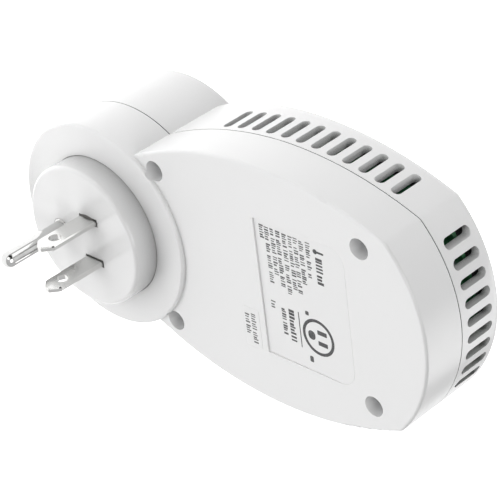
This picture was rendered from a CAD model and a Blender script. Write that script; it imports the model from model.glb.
"""Looks, print and studio for a plug-in temperature controller.

The product stands upright, +Z up. The plug and the rating label are on the +Y side, the
display and buttons on the -Y side. The round head is centred on x = z = 0, and the body
rises above it. Shapes are given in mm; shaders, lights and the camera are in metres.
"""
import bpy
import bmesh
import math
import random
from mathutils import Matrix, Vector
from mathutils.bvhtree import BVHTree


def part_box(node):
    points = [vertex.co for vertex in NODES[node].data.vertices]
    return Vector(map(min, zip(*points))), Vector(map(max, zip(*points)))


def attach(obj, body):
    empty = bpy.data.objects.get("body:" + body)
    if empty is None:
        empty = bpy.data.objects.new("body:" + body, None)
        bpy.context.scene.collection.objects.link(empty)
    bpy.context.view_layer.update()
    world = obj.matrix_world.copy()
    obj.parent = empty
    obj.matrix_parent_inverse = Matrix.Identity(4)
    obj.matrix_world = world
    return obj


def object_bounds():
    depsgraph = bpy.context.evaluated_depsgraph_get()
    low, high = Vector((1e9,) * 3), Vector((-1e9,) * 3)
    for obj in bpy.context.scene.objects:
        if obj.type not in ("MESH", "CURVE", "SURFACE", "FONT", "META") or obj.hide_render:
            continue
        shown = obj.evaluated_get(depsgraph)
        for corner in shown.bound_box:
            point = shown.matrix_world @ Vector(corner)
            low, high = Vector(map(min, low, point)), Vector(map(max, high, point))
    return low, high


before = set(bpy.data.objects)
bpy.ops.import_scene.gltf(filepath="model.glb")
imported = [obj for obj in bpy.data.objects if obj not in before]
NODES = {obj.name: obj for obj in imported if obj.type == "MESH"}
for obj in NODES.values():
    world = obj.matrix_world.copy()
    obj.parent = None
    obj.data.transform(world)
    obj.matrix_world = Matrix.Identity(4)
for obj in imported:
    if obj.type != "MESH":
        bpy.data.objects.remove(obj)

MM = 0.001
CAD_LO, CAD_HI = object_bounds()


# ------------------------------------------------------------------ shader node helpers
class NodeTree:
    """Adds and links shader nodes in one material or world."""

    def __init__(self, owner):
        owner.use_nodes = True
        self.tree = owner.node_tree
        self.tree.nodes.clear()

    def feed(self, socket, value):
        """Links a socket to another, or sets it to a number or an RGB colour."""
        if isinstance(value, bpy.types.NodeSocket):
            self.tree.links.new(value, socket)
        else:
            socket.default_value = (*value, 1) if isinstance(value, tuple) else value

    def add(self, kind, *values, **inputs):
        """Adds a node and feeds its inputs by position or name (underscores are spaces)."""
        node = self.tree.nodes.new("ShaderNode" + kind)
        for socket, value in zip(node.inputs, values):
            self.feed(socket, value)
        for key, value in inputs.items():
            self.feed(node.inputs[key.replace("_", " ")], value)
        return node

    def span(self, value, lo, hi, to=(0.0, 1.0)):
        """Maps lo..hi onto the two ends in to, clamped."""
        return self.add("MapRange", Value=value, From_Min=lo, From_Max=hi,
                        To_Min=to[0], To_Max=to[1]).outputs[0]

    def calc(self, operation, first, second=0.0, *third, clamp=False):
        node = self.add("Math", first, second, *third)
        node.operation = operation
        node.use_clamp = clamp
        return node.outputs[0]

    def dot(self):
        """A dot product node, its inputs still to be fed."""
        node = self.add("VectorMath")
        node.operation = "DOT_PRODUCT"
        return node


class Surface(NodeTree):
    """A new material on a Principled shader, textured in object coordinates."""

    def __init__(self, name):
        self.material = bpy.data.materials.new(name)
        super().__init__(self.material)
        self.shader = self.add("BsdfPrincipled")
        self.output = self.add("OutputMaterial", self.shader.outputs[0])
        self.coords = self.add("TexCoord").outputs["Object"]
        self.normal = None

    def set(self, key, value):
        self.feed(self.shader.inputs[key], value)

    def mapped(self, scale=(1, 1, 1), turn=(0, 0, 0)):
        node = self.add("Mapping", Vector=self.coords)
        node.inputs["Scale"].default_value = scale
        node.inputs["Rotation"].default_value = turn
        return node.outputs[0]

    def noise(self, scale, detail=3.0, rough=0.5, stretch=None, distortion=0.0):
        coords = self.mapped(stretch) if stretch else self.coords
        return self.add("TexNoise", Vector=coords, Scale=scale, Detail=detail,
                        Roughness=rough, Distortion=distortion).outputs["Fac"]

    def wave(self, scale, axis):
        node = self.add("TexWave", Vector=self.coords, Scale=scale)
        node.bands_direction = axis
        return node.outputs["Fac"]

    def mix(self, factor, low, high, blend="MIX"):
        node = self.add("Mix")
        node.data_type = "RGBA"
        node.blend_type = blend
        # sockets 0, 6 and 7 are the factor and the two colours
        for index, value in ((0, factor), (6, low), (7, high)):
            self.feed(node.inputs[index], value)
        return node.outputs[2]

    def bump(self, height, distance, strength):
        """Adds a bump on top of any earlier ones."""
        node = self.add("Bump", Height=height, Distance=distance, Strength=strength)
        if self.normal is not None:
            self.feed(node.inputs["Normal"], self.normal)
        self.normal = node.outputs[0]
        self.set("Normal", self.normal)

    def edge(self, radius, power):
        """0 on flat faces, rising within radius of an edge."""
        bevel = self.add("Bevel", Radius=radius)
        bevel.samples = 4
        dot = self.dot()
        self.feed(dot.inputs[0], bevel.outputs[0])
        self.feed(dot.inputs[1], self.add("NewGeometry").outputs["Normal"])
        turned = self.calc("SUBTRACT", 1.0, dot.outputs["Value"])
        return self.calc("MULTIPLY", turned, power, clamp=True)

    def crease(self, distance, lo, hi):
        """1 in the open, falling to 0 in corners and gaps."""
        occlusion = self.add("AmbientOcclusion", Distance=distance)
        occlusion.samples = 10
        return self.span(occlusion.outputs["AO"], lo, hi)

    def darken(self, color, tint, distance, lo, hi):
        """Multiplies the colour by tint in creases."""
        dark = self.mix(1.0, color, tint, "MULTIPLY")
        return self.mix(self.crease(distance, lo, hi), dark, color)


def shade(color, factor):
    return tuple(max(0.0, min(1.0, channel * factor)) for channel in color)


# ------------------------------------------------------------------ material families
# Features of the shell where the screening lacquer stops, in metres
HOLE_X = 0.0232                          # screw holes at +-x
HOLE_MID_Z, HOLE_RISE = 0.0583, 0.03525  # and at this height plus and minus the rise
HOLE_FADE = dict(lo=0.0034, hi=0.0038)   # radius over which a hole blends out
HEAD_FADE = dict(lo=0.0290, hi=0.0293)   # radius of the head's outer wall
BODY_FADE = dict(lo=0.0, hi=0.003)       # height where the head's wall meets the body
RECESS_HALF_X, RECESS_HALF_Z = 0.0215, 0.0162
RECESS_MID_Z, RECESS_FLOOR_Y = 0.0728, -0.0094


def screen_walls(surface, color, plain, lacquer):
    """Lacquers enclosed walls, but not the screw holes, the head's outer wall below z = 0
    or the recess round the label. Plain is the colour before darkening."""
    def beyond(value, half):
        return surface.calc("SUBTRACT", surface.calc("ABSOLUTE", value), half)

    def length(across, along):
        squares = [surface.calc("MULTIPLY", side, side) for side in (across, along)]
        return surface.calc("SQRT", surface.calc("ADD", *squares))

    x, y, z = surface.add("SeparateXYZ", surface.coords).outputs
    hole_z = beyond(surface.calc("SUBTRACT", z, HOLE_MID_Z), HOLE_RISE)
    hole = surface.span(length(beyond(x, HOLE_X), hole_z), to=(1, 0), **HOLE_FADE)
    outer = surface.calc("MULTIPLY", surface.span(length(x, z), **HEAD_FADE),
                         surface.span(z, to=(1, 0), **BODY_FADE))
    bare = surface.calc("MAXIMUM", surface.crease(distance=0.03, lo=0.16, hi=0.3),
                        surface.calc("MAXIMUM", hole, outer))
    color = surface.mix(bare, lacquer, color)

    # outside is negative only within the recess
    recess_z = beyond(surface.calc("SUBTRACT", z, RECESS_MID_Z), RECESS_HALF_Z)
    outside = surface.calc("MAXIMUM", beyond(x, RECESS_HALF_X), recess_z)
    outside = surface.calc("MAXIMUM", outside, surface.calc("SUBTRACT", RECESS_FLOOR_Y, y))
    recess = surface.span(outside, lo=-0.0001, hi=0.0001, to=(1, 0))
    return surface.mix(recess, color, plain)


def plastic(name, color, rough=0.28, grain=0.5, coat=0.0, drift=0.03, peel=1.0, dirt=0.88,
            scuffed=True, lacquer=None, nook=None):
    """Moulded plastic with slow colour drift, fine speckle and darker creases.

    Grain and peel scale the fine and the broad bumps, and dirt is the tint in creases.
    Lacquer is the colour of enclosed walls. Nook is a broad darkening where walls meet.
    """
    surface = Surface(name)
    plain = surface.mix(surface.span(surface.noise(scale=38), lo=0.3, hi=0.7),
                        shade(color, 1 - drift), shade(color, 1 + drift))
    speckle = surface.noise(scale=2600, detail=2)
    plain = surface.mix(surface.span(speckle, lo=0.55, hi=0.8, to=(0, drift)),
                        plain, shade(color, 0.8))
    color = surface.darken(plain, (dirt, dirt, dirt * 0.99), distance=0.0018, lo=0.15, hi=0.8)
    if nook:
        color = surface.darken(color, distance=0.010, **nook)
    if lacquer:
        color = screen_walls(surface, color, plain, lacquer)
    surface.set("Base Color", color)

    edge = surface.edge(radius=0.0004, power=4.0)
    if scuffed:
        patches = surface.span(surface.noise(scale=90, detail=2), lo=0.2, hi=0.8,
                               to=(rough - 0.015, rough + 0.015))
        marks = surface.noise(scale=160, detail=4, rough=0.6, stretch=(1.0, 0.25, 0.6))
        marks = surface.span(marks, lo=0.35, hi=0.75, to=(0, 0.05))
        base, edge_gain = surface.calc("ADD", patches, marks), 0.05
    else:
        base, edge_gain = rough, 0.03
    gain = surface.calc("MULTIPLY", edge, edge_gain)
    surface.set("Roughness", surface.calc("ADD", base, gain))
    surface.set("IOR", 1.5)
    if coat:
        surface.set("Coat Weight", coat)
        surface.set("Coat Roughness", 0.08)
    surface.bump(surface.noise(scale=420, detail=2), distance=0.000004 * peel, strength=0.5)
    if grain:
        surface.bump(surface.noise(scale=5200), distance=0.0000025 * grain, strength=0.6)
    return surface.material


def metal(name, color, rough=0.2, brush=(1, 0.02, 1), scale=5200, under=None, wear=0.0,
          tarnish=0.08):
    """Metal with brush lines and smudges. Under is the metal where plating wears off edges."""
    surface = Surface(name)
    lines = surface.noise(scale=scale, rough=0.6, stretch=brush)
    smudge = surface.noise(scale=240, detail=5, rough=0.6, distortion=0.6)
    dull = surface.span(smudge, lo=0.35, hi=0.75, to=(0, tarnish * 3))
    mixed = surface.mix(dull, color, shade(color, 0.72))
    streaks = surface.span(lines, lo=0.35, hi=0.65, to=(0, 0.22))
    mixed = surface.mix(streaks, mixed, shade(color, 0.78))
    if under:
        patchy = surface.span(surface.noise(scale=1500, detail=4), lo=0.4, hi=0.6, to=(0.2, wear))
        worn = surface.calc("MULTIPLY", surface.edge(radius=0.00022, power=5.0), patchy)
        mixed = surface.mix(worn, mixed, under)
    surface.set("Base Color", mixed)
    surface.set("Metallic", 1.0)
    brushed = surface.span(lines, lo=0.3, hi=0.7, to=(rough * 0.8, rough * 1.35))
    smeared = surface.span(smudge, lo=0.55, hi=0.8, to=(0, 0.12))
    surface.set("Roughness", surface.calc("ADD", brushed, smeared))
    surface.bump(lines, distance=0.0000035, strength=0.5)
    return surface.material


def rubbery(name, color, rough):
    surface = Surface(name)
    mottle = surface.span(surface.noise(scale=300, detail=4), lo=0.3, hi=0.7)
    surface.set("Base Color", surface.mix(mottle, shade(color, 0.86), shade(color, 1.12)))
    surface.set("Roughness", surface.span(surface.noise(scale=900), lo=0.3, hi=0.7,
                                          to=(rough - 0.06, rough + 0.08)))
    surface.bump(surface.noise(scale=3000), distance=0.000006, strength=0.6)
    return surface.material


def board(name, color):
    """Solder mask over copper traces, with pads and glass weave."""
    surface = Surface(name)
    weave = surface.calc("MULTIPLY", surface.wave(900, "X"), surface.wave(900, "Z"))
    upright = surface.mapped(turn=(math.radians(90), 0, 0))
    traces = surface.add("TexBrick", Vector=upright, Scale=60, Mortar_Size=0.09,
                         Brick_Width=0.9, Row_Height=0.16).outputs["Fac"]
    mixed = surface.mix(traces, color, shade(color, 1.5))
    cells = surface.add("TexVoronoi", Vector=surface.coords, Scale=190).outputs["Distance"]
    pads = surface.span(cells, lo=0.09, hi=0.11, to=(1, 0))
    mixed = surface.mix(pads, mixed, (0.62, 0.60, 0.56))
    faint_weave = surface.calc("MULTIPLY", weave, 0.16)
    surface.set("Base Color", surface.mix(faint_weave, mixed, shade(color, 1.3)))
    surface.set("Metallic", surface.calc("MULTIPLY", pads, 0.9))
    surface.set("Roughness", surface.span(surface.noise(scale=500), lo=0.3, hi=0.7,
                                          to=(0.28, 0.4)))
    surface.bump(traces, distance=0.00003, strength=0.5)
    surface.bump(weave, distance=0.000006, strength=0.4)
    return surface.material


def clear_plastic(name, tint, rough):
    surface = Surface(name)
    cloud = surface.span(surface.noise(scale=60, detail=2), lo=0.3, hi=0.7)
    surface.set("Base Color", surface.mix(cloud, tint, shade(tint, 0.97)))
    haze = surface.noise(scale=900, detail=5, distortion=0.8)
    surface.set("Roughness", surface.span(haze, lo=0.5, hi=0.85, to=(rough, rough + 0.12)))
    surface.set("Transmission Weight", 1.0)
    surface.set("IOR", 1.49)
    surface.bump(surface.noise(scale=260, detail=2), distance=0.000003, strength=0.4)
    # light passes straight through for shadows, so what lies behind stays lit
    shadow = surface.add("LightPath").outputs["Is Shadow Ray"]
    passing = surface.add("BsdfTransparent", (0.93, 0.95, 0.95))
    blend = surface.add("MixShader", shadow, surface.shader.outputs[0], passing.outputs[0])
    surface.feed(surface.output.inputs[0], blend.outputs[0])
    return surface.material


def glow(name, color, strength):
    surface = Surface(name)
    mottle = surface.span(surface.noise(scale=400), lo=0.3, hi=0.7)
    surface.set("Base Color", surface.mix(mottle, color, shade(color, 0.93)))
    surface.set("Roughness", 0.4)
    surface.set("Emission Color", color)
    surface.set("Emission Strength", strength)
    surface.bump(surface.noise(scale=4000, detail=2), distance=0.000003, strength=0.4)
    return surface.material


def printed(name, color, rough=0.5):
    surface = Surface(name)
    pale = shade([channel + 0.06 for channel in color], 1.2)
    mottle = surface.span(surface.noise(scale=3500), lo=0.35, hi=0.7)
    surface.set("Base Color", surface.mix(mottle, color, pale))
    surface.set("Roughness", surface.span(surface.noise(scale=900, detail=2), lo=0.3, hi=0.7,
                                          to=(rough - 0.06, rough + 0.06)))
    surface.bump(surface.noise(scale=6000, detail=2), distance=0.000002, strength=0.5)
    return surface.material


# ------------------------------------------------------------------ materials
WHITE = (0.865, 0.865, 0.865)
UNDERPLATE = (0.52, 0.50, 0.46)
MATERIALS = {
    "shell": plastic("white_abs_gloss", WHITE, rough=0.27, grain=0, peel=0.2, drift=0.002,
                     dirt=0.78, scuffed=False, lacquer=(0.05, 0.05, 0.052),
                     nook=dict(tint=(0.94, 0.94, 0.94), lo=0.4, hi=0.85)),
    "boss": plastic("white_abs_polished", shade(WHITE, 0.99), rough=0.16, grain=0, peel=0.15,
                    coat=0.3, drift=0.002, dirt=0.8, scuffed=False,
                    nook=dict(tint=(0.5, 0.5, 0.5), lo=0.5, hi=0.92)),
    "face": plastic("outlet_face_white", shade(WHITE, 0.97), rough=0.2, coat=0.4, drift=0.01,
                    dirt=0.7),
    "blade": metal("nickel_plate_drawn", (0.68, 0.68, 0.67), rough=0.17, brush=(1, 0.015, 1),
                   under=UNDERPLATE, wear=0.3, tarnish=0.05),
    "pin": metal("nickel_plate_turned", (0.62, 0.62, 0.615), rough=0.09, brush=(0.05, 1, 0.05),
                 scale=2600, under=UNDERPLATE, wear=0.2, tarnish=0.04),
    "phenolic": plastic("phenolic_charcoal", (0.045, 0.045, 0.05), rough=0.42, grain=1.6,
                        drift=0.18, dirt=0.6),
    "brass": metal("spring_brass", (0.78, 0.60, 0.30), rough=0.26, brush=(1, 0.03, 1),
                   tarnish=0.14),
    "screw": metal("zinc_screw", (0.63, 0.64, 0.66), rough=0.3, brush=(0.3, 1, 0.3),
                   scale=2200, tarnish=0.12),
    "tin": metal("tinned_metal", (0.74, 0.745, 0.75), rough=0.28, brush=(0.4, 0.4, 0.4),
                 scale=1800, tarnish=0.1),
    "label": plastic("label_film_satin", shade(WHITE, 0.985), rough=0.3, grain=0, peel=0.15,
                     drift=0.003, dirt=0.97, scuffed=False),
    "sticker": plastic("paper_sticker", shade(WHITE, 0.99), rough=0.34, grain=0, peel=0.2,
                       drift=0.004, dirt=1.0, scuffed=False),
    "board": board("solder_mask_green", (0.02, 0.12, 0.045)),
    "wire_black": rubbery("pvc_black", (0.018, 0.018, 0.02), rough=0.42),
    "wire_red": rubbery("pvc_red", (0.45, 0.03, 0.025), rough=0.42),
    "wire_white": rubbery("pvc_white", (0.78, 0.78, 0.76), rough=0.42),
    "wire_green": rubbery("pvc_green", (0.03, 0.24, 0.07), rough=0.42),
    "relay": plastic("relay_case_blue", (0.03, 0.12, 0.38), rough=0.34, grain=1.2, drift=0.06),
    "copper": metal("enamelled_copper", (0.70, 0.34, 0.17), rough=0.22, brush=(1, 0.2, 0.2),
                    scale=9000, tarnish=0.1),
    "iron": metal("soft_iron", (0.50, 0.50, 0.51), rough=0.34, brush=(0.5, 0.5, 0.5),
                  tarnish=0.16),
    "silver": metal("silver_contact", (0.84, 0.83, 0.80), brush=(0.5, 0.5, 0.5), tarnish=0.1),
    "varistor": plastic("epoxy_blue", (0.03, 0.17, 0.48), rough=0.22, grain=1.2, drift=0.08,
                        peel=4.0),
    "boxcap": plastic("capacitor_yellow", (0.72, 0.50, 0.05), rough=0.4, grain=1.4, drift=0.05),
    "sleeve": plastic("shrink_sleeve", (0.02, 0.02, 0.028), rough=0.2, drift=0.1),
    "package": plastic("epoxy_package", (0.022, 0.022, 0.025), rough=0.5, grain=2.4, drift=0.15),
    "lacquer": plastic("component_lacquer", (0.60, 0.46, 0.28), rough=0.3, grain=1.0,
                       drift=0.08, peel=2.0),
    "can": metal("metal_can", (0.74, 0.74, 0.74), rough=0.24, brush=(0.05, 1, 1)),
    "nylon": plastic("nylon_ivory", (0.78, 0.74, 0.62), rough=0.4, grain=1.4),
    "cable": rubbery("ribbon_grey", (0.42, 0.43, 0.45), rough=0.45),
    "bead": plastic("sensor_bead", (0.02, 0.02, 0.02), rough=0.16, drift=0.1),
    "lens": clear_plastic("acrylic_lens", (0.97, 0.985, 0.985), rough=0.06),
    "pipe": clear_plastic("light_pipe", (0.95, 0.97, 0.95), rough=0.2),
    "lcd": plastic("lcd_cell", (0.50, 0.55, 0.46), rough=0.12, grain=0, drift=0.015, peel=0.3),
    "backlight": glow("backlight_diffuser", (0.86, 0.90, 0.84), strength=0.15),
    "zebra": rubbery("elastomer_pink", (0.45, 0.24, 0.28), rough=0.6),
    "switch": plastic("switch_body", (0.03, 0.03, 0.032), rough=0.4, grain=1.6, drift=0.12),
    "led": glow("led_package", (0.85, 0.80, 0.55), strength=0.3),
    "button": plastic("button_grey", (0.30, 0.315, 0.335), rough=0.38, grain=2.0, drift=0.02,
                      dirt=0.7),
    "plunger": plastic("plunger_ivory", (0.72, 0.66, 0.50), rough=0.4, grain=1.0, drift=0.04),
    "ink": printed("print_ink_dark", (0.018, 0.018, 0.02)),
    "ink_soft": printed("print_ink_grey", (0.035, 0.035, 0.036)),
    "resin": printed("root_resin_dark", (0.035, 0.03, 0.026), rough=0.35),
    "icon": printed("icon_ink_white", (0.82, 0.82, 0.82)),
    "segment": printed("lcd_segment", (0.035, 0.04, 0.035), rough=0.3),
    "solder": metal("solder", (0.70, 0.70, 0.71), brush=(0.6, 0.6, 0.6), scale=2600,
                    tarnish=0.12),
}

# Pieces in each material; any piece not named here is shell
PIECES = {
    "boss": "plug_base",
    "face": "outlet_face",
    "blade": "line_blade neutral_blade",
    "pin": "ground_pin",
    "phenolic": "outlet_block blade_retainer",
    "brass": "blade_contacts ground_contact",
    "screw": "housing_screws outlet_block_screws retainer_screws power_board_screws "
             "display_board_screws",
    "tin": "wire_terminals lcd_frame",
    "label": "rating_label",
    "sticker": "inspection_sticker",
    "board": "power_board display_board",
    "wire_black": "line_wire",
    "wire_red": "load_wire",
    "wire_white": "neutral_wire",
    "wire_green": "ground_wire",
    "relay": "relay_base relay_case",
    "copper": "relay_coil",
    "iron": "relay_core relay_yoke relay_armature",
    "silver": "relay_moving_contact relay_fixed_contact",
    "varistor": "surge_varistors",
    "boxcap": "suppression_capacitor",
    "sleeve": "smoothing_capacitor",
    "package": "bridge_rectifier microcontroller",
    "lacquer": "line_fuse resistors",
    "can": "thermal_cutoff",
    "nylon": "board_connectors",
    "cable": "ribbon_cable",
    "bead": "temperature_sensor",
    "lens": "display_lens",
    "pipe": "light_pipes",
    "lcd": "lcd_glass",
    "backlight": "backlight_panel",
    "zebra": "zebra_strips",
    "switch": "tact_switches",
    "led": "indicator_leds",
    "button": "button_up button_down button_mode button_set",
    "plunger": "plunger_up plunger_down plunger_mode plunger_set",
}
MATERIAL_OF = {piece: key for key, pieces in PIECES.items() for piece in pieces.split()}
for name, piece in NODES.items():
    material = MATERIALS[MATERIAL_OF.get(name, "shell")]
    if not piece.data.materials:
        piece.data.materials.append(material)
    for slot in piece.material_slots:
        slot.material = material


# ------------------------------------------------------------------ mesh helpers
# Lengths are in mm. A level is a y height: a number, or a function of x and z.
def finish(name, mesh, material, body="housing", smooth=False):
    """Turns a bmesh into an object that rides on a body."""
    bmesh.ops.recalc_face_normals(mesh, faces=mesh.faces)
    data = bpy.data.meshes.new(name)
    mesh.to_mesh(data)
    mesh.free()
    obj = bpy.data.objects.new(name, data)
    bpy.context.scene.collection.objects.link(obj)
    data.materials.append(MATERIALS[material])
    if smooth:
        for polygon in data.polygons:
            polygon.use_smooth = True
    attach(obj, body)


def raised(level, lift):
    """The level moved by lift along y."""
    return lambda x, z: (level(x, z) if callable(level) else level) + lift


def place(mesh, outline, level):
    """Vertices over an X/Z outline at a level."""
    height = raised(level, 0)
    return [mesh.verts.new((x * MM, height(x, z) * MM, z * MM)) for x, z in outline]


def prism(mesh, outline, near, far):
    """Closed prism over an X/Z outline between two levels."""
    low, high = place(mesh, outline, near), place(mesh, outline, far)
    mesh.faces.new(low)
    mesh.faces.new(high[::-1])
    for i in range(len(low)):
        j = (i + 1) % len(low)
        mesh.faces.new((low[i], high[i], high[j], low[j]))


def stitch(mesh, rows):
    """Joins each closed row of vertices to the next."""
    for row, following in zip(rows, rows[1:]):
        for i in range(len(row)):
            j = (i + 1) % len(row)
            mesh.faces.new((row[i], row[j], following[j], following[i]))


def circle(mesh, x, z, radius, level, count):
    angles = [2 * math.pi * k / count for k in range(count)]
    points = [(x + radius * math.cos(angle), z + radius * math.sin(angle)) for angle in angles]
    return place(mesh, points, level)


def ring(mesh, x, z, outer, inner, near, far, count):
    rows = [circle(mesh, x, z, radius, level, count)
            for radius, level in ((outer, near), (outer, far), (inner, far), (inner, near))]
    stitch(mesh, rows + rows[:1])


def rounded(x0, x1, z0, z1, radius, steps=3):
    """Rectangle outline with rounded corners, radius capped at half a side."""
    radius = min(radius, (x1 - x0) / 2 - 1e-4, (z1 - z0) / 2 - 1e-4)
    points = []
    for x, z, start in ((x1 - radius, z0 + radius, -90), (x1 - radius, z1 - radius, 0),
                        (x0 + radius, z1 - radius, 90), (x0 + radius, z0 + radius, 180)):
        for k in range(steps + 1):
            angle = math.radians(start + 90 * k / steps)
            points.append((x + radius * math.cos(angle), z + radius * math.sin(angle)))
    return points


def skin(piece, start_y, missed_y):
    """Level of a piece's skin, met along y from start_y; missed_y where there is none."""
    tree = BVHTree.FromObject(NODES[piece], bpy.context.evaluated_depsgraph_get())
    toward = Vector((0, -math.copysign(1, start_y), 0))

    def level(x, z):
        hit = tree.ray_cast(Vector((x * MM, start_y * MM, z * MM)), toward)[0]
        return hit.y / MM if hit else missed_y
    return level


# ------------------------------------------------------------------ print on the +Y side
INK = 0.02                         # ink thickness
FILM_LOW_Z, FILM_HIGH_Z = 59.0, 86.0   # heights where the sloping label film is measured
film = skin("rating_label", start_y=50, missed_y=-8.8)
FILM_LOW_Y, FILM_HIGH_Y = film(0.0, FILM_LOW_Z), film(0.0, FILM_HIGH_Z)


def label_level(x, z):
    """Plane of the label film, which slopes with its recess."""
    rise = (FILM_HIGH_Y - FILM_LOW_Y) * (z - FILM_LOW_Z) / (FILM_HIGH_Z - FILM_LOW_Z)
    return FILM_LOW_Y + rise


def stamp(mesh, outline, level=label_level, lift=INK):
    prism(mesh, outline, level, raised(level, lift))


def words(mesh, seed, start, end, z, cap, gap, tick, step, level=label_level):
    """A greeked line of upright ticks from x = start down to end, cap high, centred on z."""
    rng = random.Random(seed)
    x = start
    base = z - cap / 2
    while x > end + 2 * step:
        count = min(rng.randint(3, 7), max(2, int(round((x - end) / step))))
        for _ in range(count):
            top = base + cap * rng.choice((0.72, 0.78, 1.0, 0.95, 1.0))
            left = x - tick * rng.choice((0.8, 1.0, 1.3))
            stamp(mesh, [(left, base), (x, base), (x, top), (left, top)], level)
            x -= step * rng.choice((1.0, 1.0, 1.15, 0.9))
        x -= gap


# Label lines: start x, end x, z
LINES = [(19.1, 13.5, 60.1), (18.9, 2.2, 61.9), (19.0, 5.3, 63.9), (19.0, 2.4, 65.8),
         (18.9, 0.8, 68.0), (18.9, 2.7, 70.1), (19.0, 2.1, 71.8), (18.7, 4.1, 73.7),
         (19.1, 8.4, 76.0)]
BOLD = dict(gap=0.2, tick=0.62, step=0.95)


def label_lines():
    mesh = bmesh.new()
    for i, (start, end, z) in enumerate(LINES):
        words(mesh, 40 + i, start, end, z, cap=1.5, gap=0.7, tick=0.36, step=0.68)
    finish("label_print_lines", mesh, "ink_soft")


def label_bold():
    """Two bolder lines, and a plain thermometer beside the first."""
    mesh = bmesh.new()
    words(mesh, 71, start=15.6, end=8.1, z=79.4, cap=2.2, **BOLD)
    stamp(mesh, rounded(17.0, 17.6, 78.9, 81.3, radius=0.29, steps=5))
    stamp(mesh, rounded(16.6, 18.0, 77.7, 79.1, radius=0.69, steps=8))
    words(mesh, 72, start=-3.8, end=-14.0, z=67.5, cap=1.9, **BOLD)
    finish("label_print_bold", mesh, "ink")


def label_small():
    """Two small lines, a rule and two small blocks."""
    mesh = bmesh.new()
    words(mesh, 73, start=-4.4, end=-13.2, z=64.8, cap=1.5, gap=0.4, tick=0.44, step=0.8)
    words(mesh, 74, start=-3.3, end=-5.6, z=61.3, cap=1.6, gap=0.8, tick=0.42, step=0.8)
    stamp(mesh, rounded(-14.3, -3.5, 69.92, 70.22, radius=0.1))
    for x0, x1 in ((-3.3, -2.1), (-17.6, -15.8)):
        stamp(mesh, rounded(x0, x1, 72.6, 73.8, radius=0.3))
    finish("label_print_small", mesh, "ink_soft")


def label_pictogram(x=-9.0, z=76.4):
    """Plain ring round an outlet: two slots above a rounded hole."""
    mesh = bmesh.new()
    ring(mesh, x, z, outer=5.4, inner=4.5, near=label_level, far=raised(label_level, INK),
         count=64)
    for slot_x in (x + 1.0, x - 2.3):
        stamp(mesh, rounded(slot_x, slot_x + 1.3, z - 0.2, z + 3.0, radius=0.15))
    stamp(mesh, rounded(x - 1.35, x + 1.35, z - 3.5, z - 1.1, radius=1.1, steps=6))
    finish("label_pictogram", mesh, "ink")


def blade_root_resin(x=7.12, z=0.35, bulge=0.7, height=5.3):
    """Dark potting resin, a half-lens beside the root of the hot blade."""
    mesh = bmesh.new()
    outline = [(x + bulge * math.sin(math.pi * share) ** 0.7, z + height * share)
               for share in (k / 12 for k in range(13))]
    prism(mesh, outline, near=0.0, far=0.03)
    finish("blade_root_resin", mesh, "resin")


def sticker_print():
    mesh = bmesh.new()
    face_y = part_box("inspection_sticker")[1].y / MM
    for seed, start, end, z in ((81, -10.0, -19.6, 53.6), (82, -10.5, -18.6, 51.4)):
        words(mesh, seed, start, end, z, cap=1.6, gap=0.5, tick=0.34, step=0.74, level=face_y)
    finish("sticker_print", mesh, "ink_soft")


label_lines()
label_bold()
label_small()
label_pictogram()
blade_root_resin()
sticker_print()


# ------------------------------------------------------------------ display
GLASS_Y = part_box("lcd_glass")[0].y / MM   # front face of the glass
LCD_LIFT = -0.03                          # segments stand proud towards -Y
DIGIT_Z = 82.6
SEGMENTS = {"2": "abged", "5": "afgcd", "7": "abc"}
# Digits: character, left x, width, height, stroke
DIGITS = (("7", -12.4, 6.0, 12.4, 1.35), ("2", -3.6, 6.0, 12.4, 1.35), ("5", 5.4, 4.2, 8.2, 1.0))


def lcd_mark(mesh, outline):
    stamp(mesh, outline, GLASS_Y, LCD_LIFT)


def segment(mesh, start, end, width):
    """One display segment, pointed at both ends."""
    start, end = Vector(start), Vector(end)
    along = (end - start).normalized()
    tip = along * width / 2
    side = Vector((-along.y, along.x)) * width / 2
    lcd_mark(mesh, [start, start + tip + side, end - tip + side,
                    end, end - tip - side, start + tip - side])


def digit(mesh, character, x, width, height, stroke):
    """Seven-segment digit, lettered a to g clockwise from the top with g in the middle."""
    gap = stroke * 0.12
    right, low, middle, top = x + width, DIGIT_Z, DIGIT_Z + height / 2, DIGIT_Z + height
    ends = {
        "a": ((x + gap, top), (right - gap, top)),
        "b": ((right, middle + gap), (right, top - gap)),
        "c": ((right, low + gap), (right, middle - gap)),
        "d": ((x + gap, low), (right - gap, low)),
        "e": ((x, low + gap), (x, middle - gap)),
        "f": ((x, middle + gap), (x, top - gap)),
        "g": ((x + gap, middle), (right - gap, middle)),
    }
    for letter in SEGMENTS[character]:
        segment(mesh, *ends[letter], stroke)


def lcd_digits():
    """The reading, with a decimal point and a degree ring."""
    mesh = bmesh.new()
    for row in DIGITS:
        digit(mesh, *row)
    lcd_mark(mesh, rounded(3.0, 4.1, 82.0, 83.1, radius=0.2))
    ring(mesh, 12.6, 94.0, outer=1.2, inner=0.72, near=GLASS_Y + LCD_LIFT, far=GLASS_Y, count=24)
    finish("lcd_digits", mesh, "segment")


def lcd_symbols():
    """Four rising bars, and a rule above a row of dashes."""
    mesh = bmesh.new()
    for k in range(4):
        x = k * 1.3
        lcd_mark(mesh, rounded(11.2 + x, 12.1 + x, 82.4, 83.6 + k * 1.1, radius=0.15))
    lcd_mark(mesh, rounded(-15.6, 15.6, 79.7, 79.95, radius=0.1))
    for k in range(7):
        x = k * 4.4
        lcd_mark(mesh, rounded(x - 14.8, x - 12.6, 78.1, 78.7, radius=0.2))
    finish("lcd_symbols", mesh, "segment")


lcd_digits()
lcd_symbols()

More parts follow.
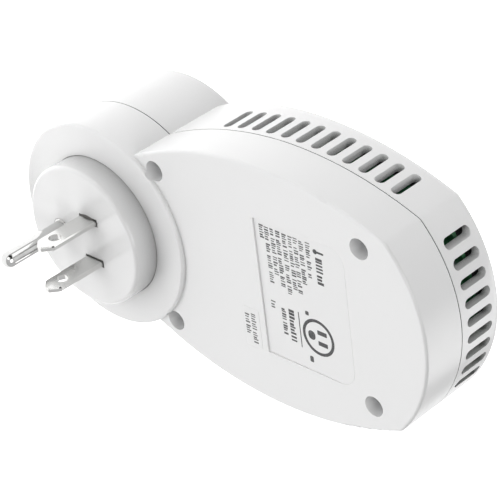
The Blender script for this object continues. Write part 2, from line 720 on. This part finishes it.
# ------------------------------------------------------------------ button icons
KEYS_Z = 62.4      # height of the mode and set buttons
KEY_RISE = 6.4     # up and down buttons lie this far above and below
KEY_X = 15         # mode at -x, set at +x
ICON_HALF = 1.7    # half width of the arrows and bars
BAR_HALF, BAR_PITCH = 0.22, 1.25
DOT_RADIUS = 1.0


def arrow(way):
    """Triangle pointing up (way 1) or down (way -1) on its own button."""
    z = KEYS_Z + way * KEY_RISE
    base_z = z - way * ICON_HALF * 0.55
    return [(-ICON_HALF, base_z), (ICON_HALF, base_z), (0, z + way * ICON_HALF * 0.75)][::way]


def icon(button, outlines):
    """Ink that follows the button's curved front."""
    front = skin("button_" + button, start_y=-200, missed_y=-40.0)
    mesh = bmesh.new()
    for outline in outlines:
        prism(mesh, outline, raised(front, 0.01), raised(front, -0.03))
    finish("icon_" + button, mesh, "icon", body=button + "_button")


icon("up", [arrow(1)])
icon("down", [arrow(-1)])
icon("mode", [rounded(-KEY_X - ICON_HALF, -KEY_X + ICON_HALF,
                      z - BAR_HALF, z + BAR_HALF, radius=0.2)
              for z in (KEYS_Z + k * BAR_PITCH for k in (-1, 0, 1))])
icon("set", [rounded(KEY_X - DOT_RADIUS, KEY_X + DOT_RADIUS,
                     KEYS_Z - DOT_RADIUS, KEYS_Z + DOT_RADIUS, radius=0.99, steps=8)])

# ------------------------------------------------------------------ small inside detail
# Solder joints on the power board: x, z
JOINTS = [(x, 30.6) for x in (-12, -4, 4, 12)]
JOINTS += [(x, z) for x in (-12.5, -6, 4.6, 12.5) for z in (35.5, 42.5)]
JOINTS += [(2.6, 60.9), (3.8, 65.9), (9.6, 60.9), (10.8, 65.9), (16.6, 60.9), (17.8, 65.9),
           (1.6, 54.6), (16.4, 54.6), (-20, 54.1), (-7.4, 54.1), (-17.5, 66), (-13.5, 66),
           (-3.4, 76), (15.4, 76)]
JOINTS += [(x, z) for z in (75, 79, 83) for x in (-18.9, -8.6)]
JOINTS += [(x, 88.8) for x in (-5, -2.5, 0, 2.5, 5)]
# Fillet profile: radius, height above the board
FILLET = ((1.0, 0.0), (0.8, 0.25), (0.42, 0.6), (0.3, 1.0))


def solder_joints():
    board_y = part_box("power_board")[1].y / MM
    mesh = bmesh.new()
    for x, z in JOINTS:
        rows = [circle(mesh, x, z, radius, board_y + height, 12) for radius, height in FILLET]
        mesh.faces.new(rows[0][::-1])
        stitch(mesh, rows)
        mesh.faces.new(rows[-1])
    finish("solder_joints", mesh, "solder", smooth=True)


def coil_turns(turns=46, x0=-10.15, x1=4.15, coil_radius=4.03):
    """Turns of wire round the relay coil, as closed rings side by side along x."""
    low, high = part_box("relay_coil")
    mid_y, mid_z = (low.y + high.y) / 2 / MM, (low.z + high.z) / 2 / MM
    pitch = (x1 - x0) / turns
    wire = pitch / 2
    mesh = bmesh.new()
    for k in range(turns):
        mid_x = x0 + (x1 - x0) * (k + 0.5) / turns
        rows = []
        for i in range(32):
            around = 2 * math.pi * i / 32
            row = []
            for j in range(6):
                across = 2 * math.pi * j / 6
                radius = coil_radius + wire * 0.9 * math.cos(across)
                row.append(mesh.verts.new(((mid_x + wire * 0.96 * math.sin(across)) * MM,
                                           (mid_y + radius * math.cos(around)) * MM,
                                           (mid_z + radius * math.sin(around)) * MM)))
            rows.append(row)
        stitch(mesh, rows + rows[:1])
    finish("coil_turns", mesh, "copper", smooth=True)


solder_joints()
coil_turns()

# ------------------------------------------------------------------ floor, camera, lights
BACKDROP = 0.93    # brightness of the floor's own light and of the world behind it


def add_floor():
    """Pale, faintly glowing floor just under the product, invisible from below."""
    bpy.ops.mesh.primitive_plane_add(size=6.0, location=(0, 0, CAD_LO.z - 0.0004))
    floor = bpy.context.active_object
    floor.name = "floor"
    material = bpy.data.materials.new("pale_floor")
    nodes = NodeTree(material)
    diffuse = nodes.add("BsdfDiffuse", Color=(0.9, 0.9, 0.9))
    emission = nodes.add("Emission", Color=(1, 1, 1), Strength=BACKDROP)
    both = nodes.add("AddShader", diffuse.outputs[0], emission.outputs[0])
    below = nodes.add("NewGeometry").outputs["Backfacing"]
    clear = nodes.add("BsdfTransparent")
    blend = nodes.add("MixShader", below, both.outputs[0], clear.outputs[0])
    nodes.add("OutputMaterial", blend.outputs[0])
    floor.data.materials.append(material)


# Camera axes: picture right, picture up, and back towards the viewer
RIGHT = Vector((-0.108207, -0.682031, 0.723273)).normalized()
UP = Vector((0.850371, -0.440355, -0.288023)).normalized()
BACK = RIGHT.cross(UP).normalized()


def add_camera():
    data = bpy.data.cameras.new("camera")
    camera = bpy.data.objects.new("camera", data)
    bpy.context.scene.collection.objects.link(camera)
    pose = Matrix((RIGHT, UP, BACK)).transposed().to_4x4()
    pose.translation = (0.305166, 0.325790, 0.415107)
    camera.matrix_world = pose
    data.sensor_width = 36.0
    data.lens = 162.485136
    data.clip_start = 0.01
    data.clip_end = 20
    bpy.context.scene.camera = camera


# Square softboxes aimed at the product's centre: name, direction from it, power in watts
LIGHTS = (
    ("overhead", (0.041, 0.339, 0.94), 3.95),
    ("left_front", (-0.507, -0.673, 0.538), 2.7),
    ("viewer_side", (0.669, 0.624, 0.404), 1.6),
    ("right_front", (0.655, -0.59, 0.471), 1.3),
    ("front_high", (0.206, -0.741, 0.639), 1.2),
)
LIGHT_DISTANCE, LIGHT_SIZE = 1.0, 0.6


def add_light(name, direction, power):
    data = bpy.data.lights.new(name, "AREA")
    data.energy = power
    data.shape = "RECTANGLE"
    data.size = data.size_y = LIGHT_SIZE
    light = bpy.data.objects.new(name, data)
    bpy.context.scene.collection.objects.link(light)
    direction = Vector(direction).normalized()
    light.location = (CAD_LO + CAD_HI) / 2 + direction * LIGHT_DISTANCE
    light.rotation_mode = "QUATERNION"
    light.rotation_quaternion = (-direction).to_track_quat("-Z", "Y")


def add_world():
    """Pale to the camera, and a dim patch near the viewer in reflections; no diffuse light."""
    world = bpy.data.worlds.new("studio")
    bpy.context.scene.world = world
    nodes = NodeTree(world)
    rays = nodes.add("LightPath").outputs
    dot = nodes.dot()
    nodes.feed(dot.inputs[0], nodes.add("NewGeometry").outputs["Incoming"])
    dot.inputs[1].default_value = -(BACK + UP * 0.55 + RIGHT * 0.25).normalized()
    patch = nodes.span(dot.outputs["Value"], lo=0.84, hi=0.93, to=(0.7, 0.03))
    reflected = nodes.calc("MULTIPLY", patch, rays["Is Glossy Ray"])
    strength = nodes.calc("MULTIPLY_ADD", rays["Is Camera Ray"], BACKDROP, reflected)
    background = nodes.add("Background", Color=(1, 1, 1), Strength=strength)
    nodes.add("OutputWorld", background.outputs[0])


add_floor()
add_camera()
for row in LIGHTS:
    add_light(*row)
add_world()

view = bpy.context.scene.view_settings
view.view_transform = "Standard"
view.look = "None"
view.exposure = 0.0
view.gamma = 1.0
